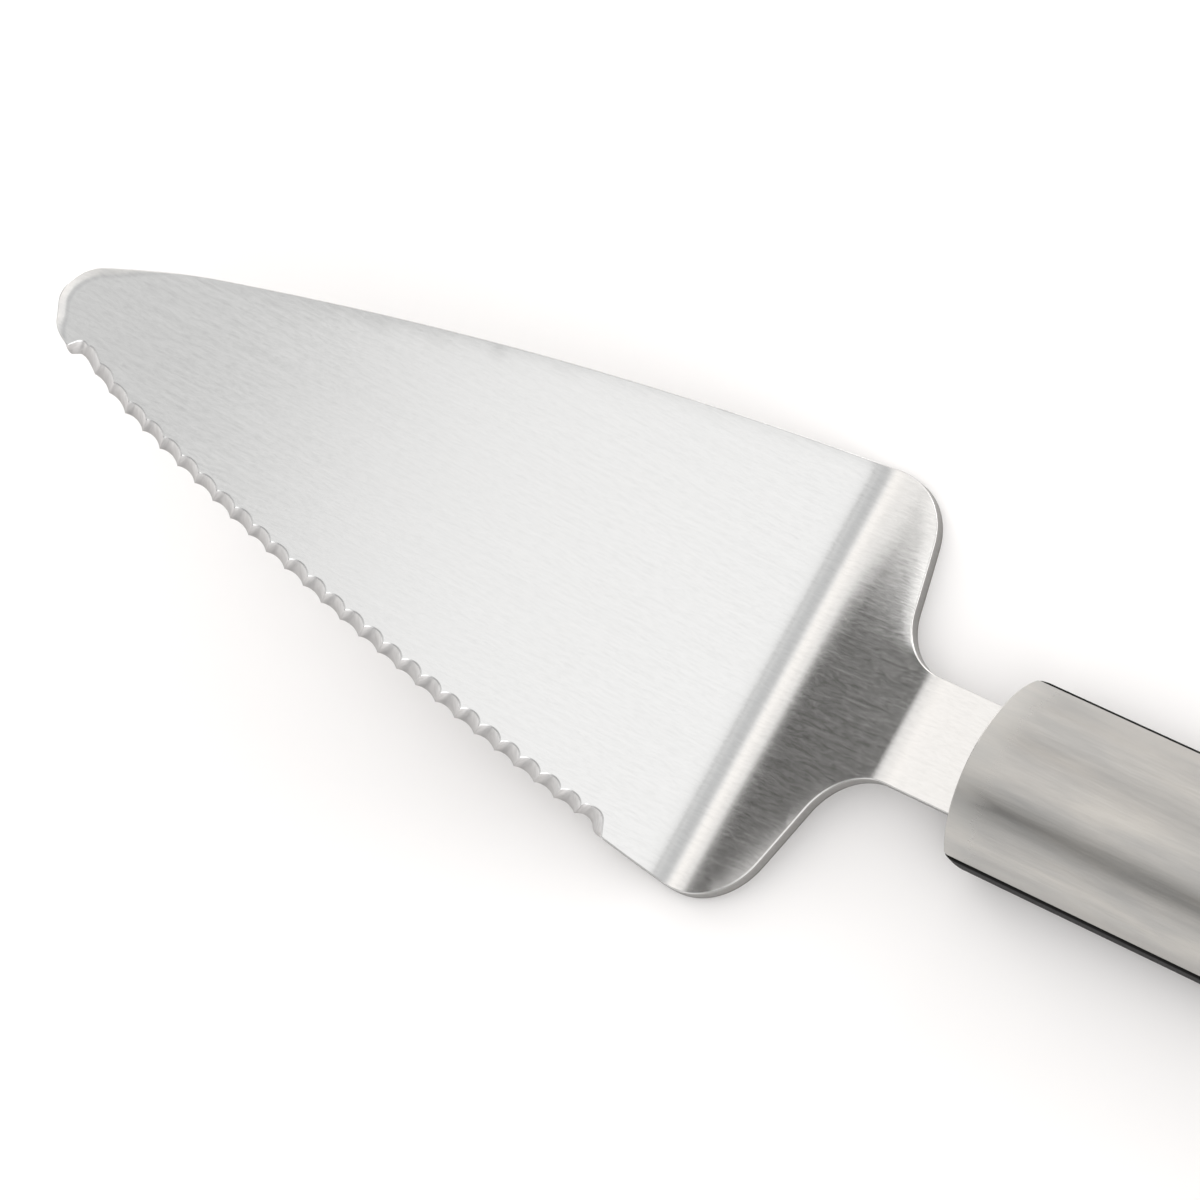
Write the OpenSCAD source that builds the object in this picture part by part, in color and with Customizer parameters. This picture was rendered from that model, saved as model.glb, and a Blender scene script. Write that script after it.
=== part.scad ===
// Cake server: one stamped steel sheet (serving blade, offset riser, neck and
// hidden tang) carried in a steel-faced handle with a soft black side band.
// Millimetres. The part is drawn as it rests on a table: on the heel bend and
// the handle, tip raised. +X runs from the tip to the handle's end, +Z is up,
// and the origin is under the middle of the whole object.

/* [Blade] */
// Length of the flat serving blade, from the heel crease to the tip
blade_len = 108.2; // [95:0.1:120]
// Width of the blade at the heel crease
heel_w = 62.56; // [56:0.1:68]
// Radius of the long convex side edges
side_r = 552; // [450:1:800]
// Angle of the side edge against the centre line at the heel
side_a = 7.6; // [6:0.1:9]
// Radius of the rounded tip
tip_r = 6.3; // [5:0.1:7]
// Thickness of the steel sheet
sheet_t = 1.6; // [1.2:0.1:2]

/* [Serration] */
// Number of ground scallops on the cutting side
scallops = 28; // [20:1:28]
// Distance between neighbouring teeth, along the centre line
tooth_pitch = 3.28; // [3:0.02:3.3]
// Distance from the heel crease to the heel end of the last scallop
serration_start = 9.9; // [9:0.1:14]
// Radius of the grinding wheel's rim
scallop_r = 4.1; // [3.6:0.1:5]
// Depth of a scallop at the cutting edge
scallop_depth = 0.48; // [0.3:0.02:0.6]

/* [Offset bend] */
// Slope of the riser against the blade
riser_a = 36; // [30:0.5:42]
// Length of the riser along its slope
riser_len = 23.45; // [20:0.05:25]
// Inside radius of the heel bend
heel_bend_r = 11; // [6:0.5:12]
// Top radius of the second bend, at the neck
neck_bend_r = 12; // [6:0.5:14]
// Slope of the neck and handle against the blade
neck_a = 21; // [18:0.5:24]
// Radius of the rounded heel corners
corner_r = 10.8; // [8:0.2:12]
// Radius of the fillets where the shoulders meet the neck
fillet_r = 10; // [8:0.5:11]
// Width of the neck
neck_w = 15.6; // [14:0.1:17]

/* [Tang] */
// Length of the tang, from the second bend
tang_len = 110; // [95:1:112]
// Width of the tang at its far end
tang_end_w = 10; // [9:0.5:12]
// Radius of the two locking pins
pin_r = 2; // [1.5:0.1:2.5]
// Distance of the first pin from the second bend
pin_1 = 44; // [40:1:55]
// Distance of the second pin from the second bend
pin_2 = 90; // [80:1:98]

/* [Handle] */
// Distance from the second bend to the handle's front edge
handle_front = 12.8; // [12:0.1:18]
// Length of the handle
handle_len = 130; // [120:1:140]
// Radius of the upper cover's crown
crown_r = 14.5; // [14.3:0.05:14.8]
// Height of the upper cover's crown above the tang's upper face
crown_h = 8.1; // [7.6:0.1:8.4]
// Height of the band's lip, where the upper cover's rim sits, above that face
lip = 0.4; // [0.3:0.1:1]
// Wall of the two steel covers
cover_t = 0.8; // [0.6:0.1:1]
// Half width of the black side band
band_w = 13.15; // [13.05:0.05:13.4]
// Depth of the handle below the tang's upper face
under_depth = 6.2; // [6:0.1:6.6]
// Radius of the lower cover's crown
under_r = 30.6; // [28:0.1:34]
// Height of the lower cover above its own rim
under_h = 2.1; // [1.9:0.05:2.2]

/* [Hanging hole] */
// Radius of the hole
hang_r = 4.5; // [3.5:0.1:4.8]
// Outer radius of the hole's black liner
liner_r = 6.8; // [6.4:0.1:7.2]

/* [Hidden] */
$fn = 72;

// side view, in the blade's own frame: x towards the handle, z up, and z = 0
// on the serving face
x_fold = 2.2;                                   // where blade and riser faces meet
heel_tan = heel_bend_r*tan(riser_a/2);
x_a = x_fold - heel_tan;                        // start of the heel bend
bend2_x = x_fold + riser_len*cos(riser_a);      // where riser and neck faces meet
bend2_z = riser_len*sin(riser_a);
neck_tan = neck_bend_r*tan((riser_a - neck_a)/2);
cap_x = handle_front + handle_len - band_w;     // centre of the handle's round end
crown_z = crown_h - crown_r;                    // axis height of the upper crown
under_z = under_r - under_depth;                // axis height of the lower crown
seat_z = under_h - under_depth;                 // rim of the lower cover
hw = heel_w/2;
side_c = [side_r*sin(side_a), hw - side_r*cos(side_a)];

// rest: the heel bend and the underside of the handle touch the table
rest_x = bend2_x + (cap_x - liner_r)*cos(neck_a) + under_depth*sin(neck_a);
rest_z = bend2_z + (cap_x - liner_r)*sin(neck_a) - under_depth*cos(neck_a);
roll_r = heel_bend_r + sheet_t;
rest_p = rest_x - x_a;
rest_q = rest_z - heel_bend_r;
pitch = acos(-roll_r/norm([rest_p, rest_q])) - atan2(rest_p, rest_q);
lift = roll_r + x_a*sin(pitch) - heel_bend_r*cos(pitch);
tip_x = -blade_len*cos(pitch) - sheet_t*sin(pitch);
end_x = bend2_x*cos(pitch) + bend2_z*sin(pitch) + (cap_x + band_w)*cos(pitch - neck_a) - 2*sin(pitch - neck_a);
mid_x = (tip_x + end_x)/2;

// width of the blade's edge arc at x, and its slope there
function edge_y(x) = side_c[1] + sqrt(side_r*side_r - (x - side_c[0])*(x - side_c[0]));
function edge_slope(x) = (side_c[0] - x)/(edge_y(x) - side_c[1]);
function bez(a, b, c, d, t) = (1-t)*(1-t)*(1-t)*a + 3*(1-t)*(1-t)*t*b + 3*(1-t)*t*t*c + t*t*t*d;

// half outline of the serving blade, from the tip to the heel
tip_a = 65;                                     // where the tip's arc ends
tip_p = [tip_r - blade_len - tip_r*cos(tip_a), tip_r*sin(tip_a)];
join_x = -90;
join_p = [join_x, edge_y(join_x)];
join_d = [1, edge_slope(join_x)]*4.6;
tip_d = [sin(tip_a), cos(tip_a)]*4.6;
half_blade = concat(
    [for (i = [0:1:8]) [tip_r - blade_len - tip_r*cos(tip_a*i/8), tip_r*sin(tip_a*i/8)]],
    [for (i = [1:1:7]) bez(tip_p, tip_p + tip_d, join_p - join_d, join_p, i/8)],
    [for (i = [0:1:20]) let (x = join_x + (x_a + 1.5 - join_x)*i/20) [x, edge_y(x)]]);

// the bends, and the sheet's side view from the tip to the tang's end
bend_steps = 8;
heel_c = [x_a, heel_bend_r];
neck_c = [bend2_x - neck_tan*cos(riser_a) + neck_bend_r*sin(riser_a), bend2_z - neck_tan*sin(riser_a) - neck_bend_r*cos(riser_a)];
tang_end = [bend2_x + tang_len*cos(neck_a), bend2_z + tang_len*sin(neck_a)];
function on_arc(c, r, a) = c + r*[sin(a), -cos(a)];
side_view = concat(
    [[-blade_len - 2, 0]],
    [for (i = [0:1:bend_steps]) on_arc(heel_c, heel_bend_r, riser_a*i/bend_steps)],
    [for (i = [0:1:bend_steps]) on_arc(neck_c, neck_bend_r, 180 + riser_a + (neck_a - riser_a)*i/bend_steps)],
    [tang_end, tang_end + sheet_t*[sin(neck_a), -cos(neck_a)]],
    [for (i = [bend_steps:-1:0]) on_arc(neck_c, neck_bend_r - sheet_t, 180 + riser_a + (neck_a - riser_a)*i/bend_steps)],
    [for (i = [bend_steps:-1:0]) on_arc(heel_c, heel_bend_r + sheet_t, riser_a*i/bend_steps)],
    [[-blade_len - 2, -sheet_t]]);

// half outline of the riser in its own plane: u up the slope, v across
corner_u = -0.1;                                // where the corner's arc begins
corner_p = [corner_u, edge_y(x_fold + corner_u*cos(riser_a))];
corner_a = 7;                                   // side edge against u, at the corner
shoulder_a = 73;                                // shoulder edge against u
corner_c = corner_p + corner_r*[sin(corner_a), -cos(corner_a)];
fillet_y = neck_w/2 + fillet_r;
fillet_c = [corner_c[0] + (corner_r + fillet_r - (fillet_y - corner_c[1])*cos(shoulder_a))/sin(shoulder_a), fillet_y];
fillet_u = max(0, fillet_c[0] - riser_len);     // the part of the fillet beyond the second bend
fillet_a = asin(fillet_u/fillet_r);
half_riser = concat(
    [[-3, 0], [-3, edge_y(x_fold - 3/cos(riser_a)) - 0.05], [-0.5, edge_y(x_fold - 0.5/cos(riser_a)) - 0.05]],
    [for (i = [0:1:12]) let (a = 90 + corner_a - (corner_a + shoulder_a)*i/12) corner_c + corner_r*[cos(a), sin(a)]],
    [for (i = [0:1:10]) let (a = 270 - shoulder_a + (shoulder_a - fillet_a)*i/10) fillet_c + fillet_r*[cos(a), sin(a)]],
    [[riser_len + 0.05, neck_w/2 - 0.3], [riser_len + 1, neck_w/2 - 0.3], [riser_len + 1, 0]]);
// and of the neck and tang, from the second bend
half_tang = concat(
    [[-2, 0], [-2, neck_w/2 - 0.3]],
    [for (i = [0:1:3]) let (a = 270 - fillet_a*(1 - i/3)) fillet_c + [-riser_len, 0] + fillet_r*[cos(a), sin(a)]],
    [[handle_front + 8, neck_w/2], [handle_front + 16, tang_end_w/2 + 1],
     [tang_len - 4, tang_end_w/2], [tang_len - 1, tang_end_w/2 - 1], [tang_len + 1, tang_end_w/2 - 3], [tang_len + 1, 0]]);

function mirrored(p) = concat(p, [for (i = [len(p)-1:-1:0]) [p[i][0], -p[i][1]]]);

// the whole object on the table, from the blade's frame
module posed() translate([-mid_x, 0, lift]) rotate([0, pitch, 0]) children();
// the handle's frame: x along the handle from the second bend, z = 0 on the
// tang's upper face
module in_handle() posed() translate([bend2_x, 0, bend2_z]) rotate([0, -neck_a, 0]) children();
// extrudes a shape drawn in (y, z) along x
module along_x(x0, x1) translate([x0, 0, 0]) rotate([90, 0, 90]) linear_extrude(x1 - x0) children();
// a bar of the handle's plan shape: straight sides and a half-round end
module plan(x0, half, z0, z1) translate([0, 0, z0]) {
    translate([x0, -half, 0]) cube([cap_x - x0, 2*half, z1 - z0]);
    translate([cap_x, 0, 0]) cylinder(r = half, h = z1 - z0);
}
// a crowned bar: round along x with a ball at the end, axis at height zc
module crowned(x0, r, zc) translate([0, 0, zc]) {
    translate([x0, 0, 0]) rotate([0, 90, 0]) cylinder(r = r, h = cap_x - x0);
    translate([cap_x, 0, 0]) sphere(r = r);
}
// what the die leaves of the sheet: the blade's outline cut square to the
// blade, the riser's square to the riser, the neck's and tang's square to them
module blade_outline() translate([0, 0, -6]) linear_extrude(12) polygon(mirrored(half_blade));
module riser_outline() translate([x_fold, 0, 0]) rotate([0, -riser_a, 0])
    translate([0, 0, -5]) linear_extrude(9) polygon(mirrored(half_riser));
module tang_outline() translate([bend2_x, 0, bend2_z]) rotate([0, -neck_a, 0])
    translate([0, 0, -4]) linear_extrude(8) polygon(mirrored(half_tang));

// cutting side: a row of scallops ground at 45 degrees through the edge
module scallop_row()
    for (k = [0:1:scallops - 1]) {
        x = -serration_start - tooth_pitch*(k + 0.5);
        y = -(x < join_x ? bez(tip_p, tip_p + tip_d, join_p - join_d, join_p, (x - tip_p[0])/(join_x - tip_p[0]))[1] : edge_y(x)) + 0.4;
        translate([x, y + scallop_depth - scallop_r*sqrt(2), -sheet_t]) rotate([-45, 0, 0])
            translate([0, 0, -6]) cylinder(r = scallop_r, h = 16);
    }

// serving blade, heel bend, riser, neck and tang: one stamped and bent sheet
module blade() color([0.84, 0.84, 0.83]) posed() difference() {
    intersection() {
        rotate([90, 0, 0]) linear_extrude(80, center = true) polygon(side_view);
        union() {
            blade_outline();
            riser_outline();
            tang_outline();
        }
    }
    scallop_row();
    for (x = [pin_1, pin_2]) translate([bend2_x, 0, bend2_z]) rotate([0, -neck_a, 0])
        translate([x, 0, -sheet_t - 1]) cylinder(r = pin_r, h = sheet_t + 2);
}

// two steel pins that lock the tang in the core
module tang_pins() color([0.7, 0.7, 0.7]) in_handle()
    for (x = [pin_1, pin_2]) translate([x, 0, seat_z + 0.4]) cylinder(r = pin_r, h = 9);

// moulded nylon core: fills the space between the covers, slotted for the tang
module handle_core() color([0.13, 0.13, 0.13]) in_handle() difference() {
    union() {
        intersection() {
            crowned(handle_front + 0.3, crown_r - cover_t - 0.05, crown_z);
            plan(handle_front + 0.3, band_w, 0, crown_h);
        }
        intersection() {
            plan(handle_front + 2.6, 10.7, -under_depth, 0);
            crowned(handle_front, under_r - cover_t - 0.05, under_z);
        }
    }
    translate([handle_front - 1, -neck_w/2 - 0.05, -sheet_t - 0.05]) cube([18, neck_w + 0.1, sheet_t + 0.1]);
    translate([handle_front + 5, -tang_end_w/2 - 1.2, -sheet_t - 0.05]) cube([tang_len - handle_front - 4.6, tang_end_w + 2.4, sheet_t + 0.1]);
    for (x = [pin_1, pin_2]) translate([x, 0, seat_z + 0.3]) cylinder(r = pin_r + 0.02, h = 9.2);
    translate([cap_x, 0, -10]) cylinder(r = liner_r + 0.05, h = 25);
}

// section of the soft band: a strip with rounded edges, a lip under the upper
// cover's rim, and a seat for the lower cover on its inside
band_top_w = sqrt(crown_r*crown_r - (lip - crown_z)*(lip - crown_z));
lip_in = sqrt(pow(crown_r - cover_t, 2) - crown_z*crown_z) + 0.02;
band_section = [[10.75, 0], [lip_in, 0], [lip_in, lip], [band_top_w, lip], [band_top_w + 0.32, lip - 0.25], [band_w, -0.1], [band_w, seat_z + 1.3], [band_w - 0.25, seat_z + 0.5],
    [band_w - 0.8, seat_z - 0.1], [11.6, seat_z - 0.35], [11.5, seat_z], [10.75, seat_z]];
module grip_band() color([0.05, 0.05, 0.05]) in_handle() {
    for (s = [0, 1]) mirror([0, s, 0]) along_x(handle_front, cap_x) polygon(band_section);
    translate([cap_x, 0, 0]) rotate([0, 0, -90]) rotate_extrude(angle = 180) polygon(band_section);
    difference() {
        translate([handle_front, -11.3, seat_z]) cube([2.5, 22.6, -seat_z]);
        translate([handle_front - 1, -neck_w/2 - 0.05, -sheet_t - 0.05]) cube([5, neck_w + 0.1, sheet_t + 1]);
    }
}

// pressed upper cover
module upper_cover() color([0.68, 0.68, 0.67]) in_handle() difference() {
    intersection() {
        crowned(handle_front, crown_r, crown_z);
        plan(handle_front, band_w, lip + 0.02, crown_h + 1);
    }
    crowned(handle_front - 1, crown_r - cover_t, crown_z);
    translate([cap_x, 0, -1]) cylinder(r = liner_r + 0.05, h = 15);
}

// pressed lower cover
module lower_cover() color([0.68, 0.68, 0.67]) in_handle() difference() {
    intersection() {
        crowned(handle_front, under_r, under_z);
        plan(handle_front, 11.45, -under_depth - 1, seat_z - 0.02);
    }
    crowned(handle_front - 1, under_r - cover_t, under_z);
    translate([cap_x, 0, -15]) cylinder(r = liner_r + 0.05, h = 15);
}

// black liner of the hanging hole
module hanging_liner() color([0.06, 0.06, 0.06]) in_handle() translate([cap_x, 0, 0]) rotate_extrude()
    polygon([[hang_r, -under_depth + 0.5], [hang_r, crown_h - 1.6], [hang_r + 0.3, crown_h - 1.1], [hang_r + 0.8, crown_h - 0.9],
        [liner_r - 0.7, crown_h - 1.0], [liner_r - 0.2, crown_h - 1.3], [liner_r, crown_h - 1.7],
        [liner_r, -under_depth + 0.9], [liner_r - 0.4, -under_depth + 0.4], [hang_r + 0.4, -under_depth + 0.2]]);

blade();
tang_pins();
handle_core();
grip_band();
upper_cover();
lower_cover();
hanging_liner();
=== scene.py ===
"""Cake server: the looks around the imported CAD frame.

Every mesh is worked out in millimetres in the blade's own frame or the handle's
own frame, as in the CAD source, and placed in the row frame in metres.
"""

import math

import bpy
import numpy as np
from mathutils import Matrix
from mathutils.geometry import delaunay_2d_cdt


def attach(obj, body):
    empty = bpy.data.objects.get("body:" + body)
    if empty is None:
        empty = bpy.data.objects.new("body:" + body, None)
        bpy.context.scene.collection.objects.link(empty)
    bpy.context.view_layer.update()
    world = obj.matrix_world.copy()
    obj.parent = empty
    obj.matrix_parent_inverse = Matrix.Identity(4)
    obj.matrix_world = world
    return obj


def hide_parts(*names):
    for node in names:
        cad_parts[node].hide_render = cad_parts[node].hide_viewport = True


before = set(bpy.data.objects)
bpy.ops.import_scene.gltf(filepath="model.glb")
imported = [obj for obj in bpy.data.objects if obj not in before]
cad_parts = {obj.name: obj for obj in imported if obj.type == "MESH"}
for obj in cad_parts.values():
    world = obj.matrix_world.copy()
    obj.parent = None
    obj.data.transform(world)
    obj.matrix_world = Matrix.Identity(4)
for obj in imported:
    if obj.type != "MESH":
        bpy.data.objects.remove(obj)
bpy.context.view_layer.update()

# ---------------------------------------------------------------- dimensions

BLADE_LEN, HEEL_W, SIDE_R, TIP_R, SHEET = 108.2, 62.56, 552.0, 6.3, 1.6
SIDE_A, RISER_A, NECK_A = (math.radians(a) for a in (7.6, 36.0, 21.0))
RISER_LEN, BEND_R, NECK_R = 23.45, 11.0, 12.0
CORNER_U, CORNER_R, SHOULDER_A, FILLET_R, NECK_W, TANG_LEN = -0.37, 10.8, math.radians(73), 10.0, 15.6, 110.0
FRONT, HANDLE_LEN, CROWN_R, CROWN_H, COVER_T = 12.8, 130.0, 14.5, 8.1, 0.8
BAND_W, UNDER_D, UNDER_R, UNDER_H = 13.15, 6.2, 30.6, 2.1
HANG_R, LINER_R = 4.5, 6.8
LIP = 0.5                      # the band's lip, above the tang's upper face

X_FOLD = 2.2
HEEL_TAN = BEND_R * math.tan(RISER_A / 2)
NECK_TAN = NECK_R * math.tan((RISER_A - NECK_A) / 2)
X_A = X_FOLD - HEEL_TAN
BEND2 = (X_FOLD + RISER_LEN * math.cos(RISER_A), RISER_LEN * math.sin(RISER_A))
CAP_X = FRONT + HANDLE_LEN - BAND_W
CROWN_Z = CROWN_H - CROWN_R
UNDER_Z = UNDER_R - UNDER_D
SEAT_Z = UNDER_H - UNDER_D

# how the object rests: heel bend and the handle's underside on the table
_rx = BEND2[0] + (CAP_X - LINER_R) * math.cos(NECK_A) + UNDER_D * math.sin(NECK_A)
_rz = BEND2[1] + (CAP_X - LINER_R) * math.sin(NECK_A) - UNDER_D * math.cos(NECK_A)
_p, _q, _roll = _rx - X_A, _rz - BEND_R, BEND_R + SHEET
PITCH = math.acos(-_roll / math.hypot(_p, _q)) - math.atan2(_p, _q)
LIFT = _roll + X_A * math.sin(PITCH) - BEND_R * math.cos(PITCH)
_tip = -BLADE_LEN * math.cos(PITCH) - SHEET * math.sin(PITCH)
_end = (BEND2[0] * math.cos(PITCH) + BEND2[1] * math.sin(PITCH)
        + (CAP_X + BAND_W) * math.cos(PITCH - NECK_A) - 2 * math.sin(PITCH - NECK_A))
MID_X = (_tip + _end) / 2


def blade_to_row(p):
    """Blade frame in mm to the row frame in m."""
    x, y, z = p[:, 0], p[:, 1], p[:, 2]
    c, s = math.cos(PITCH), math.sin(PITCH)
    return np.stack([x * c + z * s - MID_X, y, -x * s + z * c + LIFT], 1) / 1000


def handle_to_row(p):
    """Handle frame in mm to the row frame in m."""
    x, y, z = p[:, 0], p[:, 1], p[:, 2]
    c, s = math.cos(NECK_A), math.sin(NECK_A)
    return blade_to_row(np.stack([BEND2[0] + x * c - z * s, y, BEND2[1] + x * s + z * c], 1))


# ------------------------------------------------------- sheet-metal builder


def left_normals(loop):
    """Unit normals on the left of a closed loop of 2D points."""
    d = np.roll(loop, -1, 0) - loop
    d /= np.maximum(np.linalg.norm(d, axis=1, keepdims=True), 1e-9)
    n = np.stack([-d[:, 1], d[:, 0]], 1)
    m = n + np.roll(n, 1, 0)
    return m / np.maximum(np.linalg.norm(m, axis=1, keepdims=True), 1e-9)


def inside(points, loops):
    """Even-odd test of 2D points against closed loops."""
    hit = np.zeros(len(points), bool)
    for loop in loops:
        a, b = loop, np.roll(loop, -1, 0)
        for k in range(0, len(points), 4000):
            x, y = points[k:k + 4000, 0][:, None], points[k:k + 4000, 1][:, None]
            cross = (a[:, 1] > y) != (b[:, 1] > y)
            with np.errstate(divide="ignore", invalid="ignore"):
                at = (b[:, 0] - a[:, 0]) * (y - a[:, 1]) / (b[:, 1] - a[:, 1]) + a[:, 0]
            hit[k:k + 4000] ^= (cross & (x < at)).sum(1) % 2 == 1
    return hit


def clear_of(points, loops, gap):
    """The points that are at least gap away from every loop."""
    keep = np.ones(len(points), bool)
    for loop in loops:
        a, b = loop, np.roll(loop, -1, 0)
        d = b - a
        dd = np.maximum((d * d).sum(1), 1e-12)
        for k in range(0, len(points), 2000):
            p = points[k:k + 2000][:, None, :]
            t = np.clip(((p - a) * d).sum(2) / dd, 0, 1)
            q = a + t[..., None] * d
            keep[k:k + 2000] &= ((p - q) ** 2).sum(2).min(1) > gap * gap
    return points[keep]


class Shell:
    """Collects vertices, faces and grain coordinates of one piece."""

    def __init__(self):
        self.verts, self.faces, self.uvs, self.marks = [], [], [], []
        self.count = 0

    def add(self, points):
        self.verts.append(np.asarray(points, float))
        first = self.count
        self.count += len(points)
        return first

    def quads(self, grid, uv, mark):
        """grid: rows x columns of vertex numbers, closed along the columns.
        mark: how far each vertex lies on the cut edge, and its kind."""
        rows, cols = grid.shape
        for r in range(rows - 1):
            for c in range(cols):
                e = (c + 1) % cols
                self.faces.append((grid[r, c], grid[r + 1, c], grid[r + 1, e], grid[r, e]))
                self.uvs.append((uv[r, c], uv[r + 1, c], uv[r + 1, e], uv[r, e]))
                self.marks.append((mark[r, c], mark[r + 1, c], mark[r + 1, e], mark[r, e]))


def fill(shell, loops, ids, inner, place, w_of, flip):
    """Fills between boundary loops (vertex numbers ids) with triangles."""
    inner = inner[inside(inner, loops)] if len(inner) else inner
    inner = clear_of(inner, loops, 0.22) if len(inner) else inner
    flat = np.concatenate(list(loops) + [inner]) if len(inner) else np.concatenate(loops)
    index = np.concatenate([np.asarray(i) for i in ids])
    if len(inner):
        first = shell.add(place(inner, w_of(inner)))
        index = np.concatenate([index, np.arange(first, first + len(inner))])
    edges, start = [], 0
    for loop in loops:
        n = len(loop)
        edges += [(start + i, start + (i + 1) % n) for i in range(n)]
        start += n
    out = delaunay_2d_cdt([tuple(p) for p in flat.tolist()], edges, [], 0, 1e-7)
    pts = np.array([tuple(v) for v in out[0]])
    origin = [o[0] if o else -1 for o in out[3]]
    tris = np.array(out[2])
    keep = inside(pts[tris].mean(1), loops)
    for tri in tris[keep]:
        if min(origin[i] for i in tri) < 0:
            continue
        t = [origin[i] for i in tri]
        a, b, c = (flat[i] for i in t)
        if (b[0] - a[0]) * (c[1] - a[1]) - (b[1] - a[1]) * (c[0] - a[0]) < 0:
            t = t[::-1]
        if flip:
            t = t[::-1]
        shell.faces.append(tuple(int(index[i]) for i in t))
        shell.uvs.append(tuple(flat[i] for i in t))


def plate(loops, place, thick, r_top, r_low, inner_top, inner_low, sink=None):
    """A sheet of metal: loops is [(top contour, lower contour, limits, kinds)], first
    the outline and then the holes, each with the metal on its left. Edges are
    rounded by r_top above and r_low below. sink(points) lowers the top face."""
    shell = Shell()
    top_rings, low_rings, top_ids, low_ids = [], [], [], []
    drop = sink if sink else (lambda p: np.zeros(len(p)))
    for top, low, limit, kinds in loops:
        n_top, n_low = left_normals(top), left_normals(low)

        def inset(base, normal, d):
            q = base + normal * d
            return limit(base, q) if limit else q

        wall = np.linalg.norm(np.concatenate([low - top, np.full((len(top), 1), thick)], 1), axis=1)
        t0 = np.minimum(r_top / wall, 0.45)[:, None]
        t1 = 1 - np.minimum(r_low / wall, 0.3)[:, None]
        base = drop(top)
        rows, ws, on_edge = [], [], []

        def add(q, w, mark):
            rows.append(q)
            ws.append(w)
            on_edge.append(mark)

        ring0 = inset(top, n_top, r_top + 0.03)
        ring1 = inset(top, n_top, r_top)
        add(ring0, drop(ring0), 0)
        add(ring1, drop(ring1), 0)
        start_w = drop(ring1)
        for q in (0.15, 0.3, 0.45, 0.6, 0.75, 0.9, 1.0):
            a, b, c = (1 - q) ** 2, 2 * q * (1 - q), q * q
            wall_xy = top + (low - top) * t0
            wall_w = base + (-thick - base) * t0[:, 0]
            add(a * ring1 + b * top + c * wall_xy, a * start_w + b * base + c * wall_w, max(0.0, q - 0.5) * 2)
        for f in (0.03, 0.35, 0.65, 0.97):
            t = t0 + (t1 - t0) * f
            add(top + (low - top) * t, base + (-thick - base) * t[:, 0], 1 + f)
        end = inset(low, n_low, r_low)
        for q in (0.0, 0.25, 0.5, 0.75, 1.0):
            a, b, c = (1 - q) ** 2, 2 * q * (1 - q), q * q
            wall_xy = top + (low - top) * t1
            wall_w = base + (-thick - base) * t1[:, 0]
            add(a * wall_xy + b * low + c * end, a * wall_w - b * thick - c * thick, 2)
        add(inset(low, n_low, r_low + 0.03), np.full(len(low), -thick), 0)
        pts = [place(q, w) for q, w in zip(rows, ws)]
        ids = np.array([np.arange(len(top)) + shell.add(p) for p in pts])
        run = np.zeros(len(top))
        uv = [rows[0]]
        for k in range(1, len(pts)):
            run = run + np.linalg.norm(pts[k] - pts[k - 1], axis=1)
            uv.append(rows[0] - n_top * run[:, None])
        mark = np.zeros((len(rows), len(top), 2))
        mark[:, :, 0] = np.array(on_edge)[:, None]
        if kinds is not None:
            mark[:, :, 1] = kinds[None, :]
        shell.quads(ids, np.array(uv), mark)
        top_rings.append(rows[0])
        low_rings.append(rows[-1])
        top_ids.append(ids[0])
        low_ids.append(ids[-1])
    fill(shell, top_rings, top_ids, inner_top, place, drop, False)
    fill(shell, low_rings, low_ids, inner_low, place, lambda p: np.full(len(p), -thick), True)
    return shell


def make_piece(name, shell, to_row, node, material):
    mesh = bpy.data.meshes.new(name)
    co = to_row(np.concatenate(shell.verts))
    mesh.from_pydata(co.tolist(), [], [tuple(int(i) for i in f) for f in shell.faces])
    layer = mesh.uv_layers.new(name="grain")
    flat = np.concatenate([np.array(u, float) for u in shell.uvs]) / 100.0
    layer.data.foreach_set("uv", flat.astype(np.float32).ravel())
    if shell.marks:
        marks = np.concatenate([np.array(m, float) for m in shell.marks])
        marks = np.concatenate([marks, np.zeros((len(flat) - len(marks), 2))])
        layer = mesh.uv_layers.new(name="edge")
        layer.data.foreach_set("uv", marks.astype(np.float32).ravel())
    mesh.shade_smooth()
    mesh.materials.append(material)
    mesh.validate()
    mesh.update()
    obj = bpy.data.objects.new(name, mesh)
    bpy.context.scene.collection.objects.link(obj)
    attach(obj, "root")
    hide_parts(node)
    return obj


def spline(points, n):
    """n+1 points spread evenly on a smooth curve through the given points."""
    p = np.array(points, float)
    p = np.concatenate([[2 * p[0] - p[1]], p, [2 * p[-1] - p[-2]]])
    dense = []
    for i in range(1, len(p) - 2):
        for t in np.linspace(0, 1, 12, endpoint=False):
            a, b, c, d = p[i - 1], p[i], p[i + 1], p[i + 2]
            dense.append(0.5 * (2 * b + (c - a) * t + (2 * a - 5 * b + 4 * c - d) * t * t
                                + (3 * b - a - 3 * c + d) * t ** 3))
    dense.append(p[-2])
    dense = np.array(dense)
    run = np.concatenate([[0], np.cumsum(np.linalg.norm(np.diff(dense, axis=0), axis=1))])
    at = np.linspace(0, run[-1], n + 1)
    return np.stack([np.interp(at, run, dense[:, k]) for k in (0, 1)], 1)


def arc_between(a, b, rise, n, skew=0.0):
    """n+1 points from a to b on an arc that rises on the left of a->b."""
    a, b = np.array(a, float), np.array(b, float)
    chord = np.linalg.norm(b - a)
    t = (b - a) / chord
    left = np.array([-t[1], t[0]])
    r = (chord * chord / 4 + rise * rise) / (2 * rise)
    half = math.asin(min(1.0, chord / 2 / r))
    ang = np.linspace(-half, half, n + 1)
    u = r * np.sin(ang) + chord / 2
    v = r * np.cos(ang) - r * math.cos(half)
    u = u + skew * v * (u / chord)
    return a + u[:, None] * t + v[:, None] * left


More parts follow.
